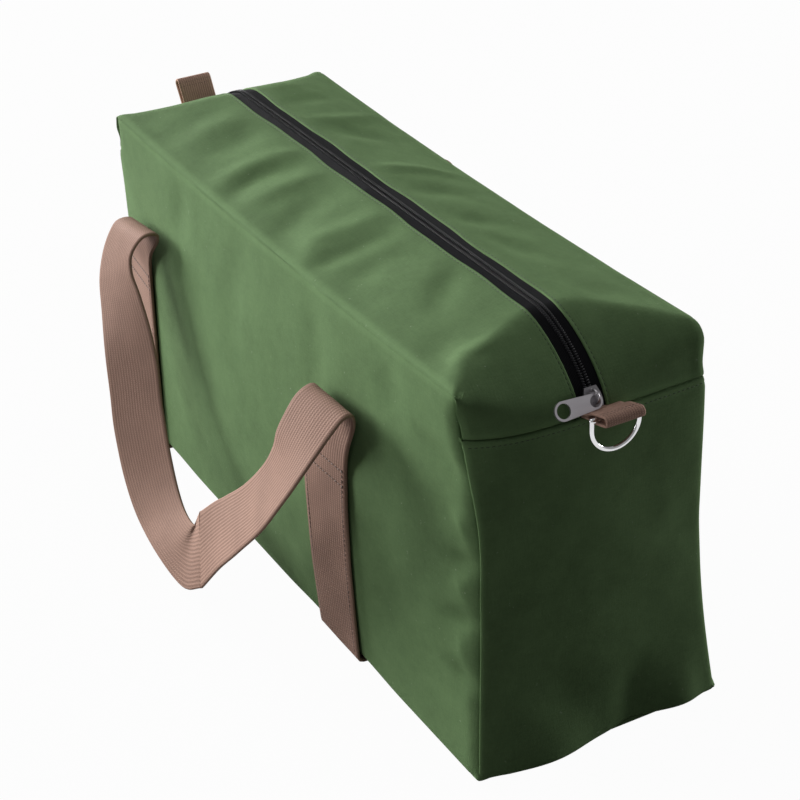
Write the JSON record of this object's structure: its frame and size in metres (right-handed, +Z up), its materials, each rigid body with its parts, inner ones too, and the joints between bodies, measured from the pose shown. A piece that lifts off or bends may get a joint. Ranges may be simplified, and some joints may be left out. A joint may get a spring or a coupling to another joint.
{
  "type": "tool bag",
  "caption": "Box-shaped canvas tool bag with a zip top, two webbing carry handles and end loops, one holding a D-ring.",
  "frame": {"origin": "on the floor under the middle of the bag's canvas box, between its four bottom corners; the right loop and the ring reach a little farther out than the left loop", "axes": "+X along the bag towards the end with the D-ring, +Y from the front handle to the back handle, +Z up"},
  "size_m": [0.53, 0.2982, 0.2567],
  "materials": {
    "canvas": "olive green plain-weave cotton canvas, matte",
    "webbing": "brown ribbed webbing, matte",
    "zip_tape": "black woven tape",
    "zip_coil": "black nylon coil, satin",
    "gunmetal": "grey gunmetal plating, satin",
    "chrome": "bright plating"
  },
  "bodies": {
    "bag": {"front_panel": "canvas", "back_panel": "canvas", "right_end_panel": "canvas", "left_end_panel": "canvas", "bottom_panel": "canvas", "top_end_front_right": "canvas", "top_end_back_right": "canvas", "top_end_front_left": "canvas", "top_end_back_left": "canvas", "zip_tape_end_front_right": "zip_tape", "zip_tape_end_back_right": "zip_tape", "zip_tape_end_front_left": "zip_tape", "zip_tape_end_back_left": "zip_tape", "zip_coil_end_front_right": "zip_coil", "zip_coil_end_back_right": "zip_coil", "zip_coil_end_front_left": "zip_coil", "zip_coil_end_back_left": "zip_coil", "belt_right": "webbing", "belt_left": "webbing", "handle_bend_front_right": "webbing", "handle_bend_front_left": "webbing", "handle_bend_back_right": "webbing", "handle_bend_back_left": "webbing", "loop_right": "webbing", "loop_left": "webbing"},
    "front_flap": {"top_strip_front": "canvas", "zip_tape_front": "zip_tape", "zip_coil_front": "zip_coil"},
    "back_flap": {"top_strip_back": "canvas", "zip_tape_back": "zip_tape", "zip_coil_back": "zip_coil"},
    "slider": {"zip_slider": "gunmetal", "zip_bail": "gunmetal"},
    "puller": {"zip_pull_tab": "gunmetal"},
    "ring": {"d_ring": "chrome"},
    "front_handle": {"handle_front": "webbing"},
    "back_handle": {"handle_back": "webbing"}
  },
  "joints": [
    {"name": "front_flap_open", "type": "hinge", "parent": "bag", "child": "front_flap", "pos_m": [0, -0.078, 0.24], "axis": [1, 0, 0], "range_deg": [0, 75]},
    {"name": "back_flap_open", "type": "hinge", "parent": "bag", "child": "back_flap", "pos_m": [0, 0.078, 0.24], "axis": [-1, 0, 0], "range_deg": [0, 75]},
    {"name": "slider_run", "type": "hinge", "parent": "bag", "child": "slider", "pos_m": [0.1856, 0, 0.1908], "axis": [0, -1, 0], "range_deg": [0, 30]},
    {"name": "puller_lift", "type": "hinge", "parent": "slider", "child": "puller", "pos_m": [0.24614, 0, 0.22229], "axis": [-0.4908, 0, 0.8713], "range_deg": [0, 40]},
    {"name": "ring_swing", "type": "hinge", "parent": "bag", "child": "ring", "pos_m": [0.25601, 0.005, 0.21895], "axis": [0, -1, 0], "range_deg": [-8, 135]},
    {"name": "front_handle_swing", "type": "hinge", "parent": "bag", "child": "front_handle", "pos_m": [0, -0.102, 0.182], "axis": [-1, 0, 0], "range_deg": [0, 165], "deforming": ["handle_bend_front_right", "handle_bend_front_left"]},
    {"name": "back_handle_swing", "type": "hinge", "parent": "bag", "child": "back_handle", "pos_m": [0, 0.11, 0.186], "axis": [1, 0, 0], "range_deg": [0, 165], "deforming": ["handle_bend_back_right", "handle_bend_back_left"]}
  ]
}
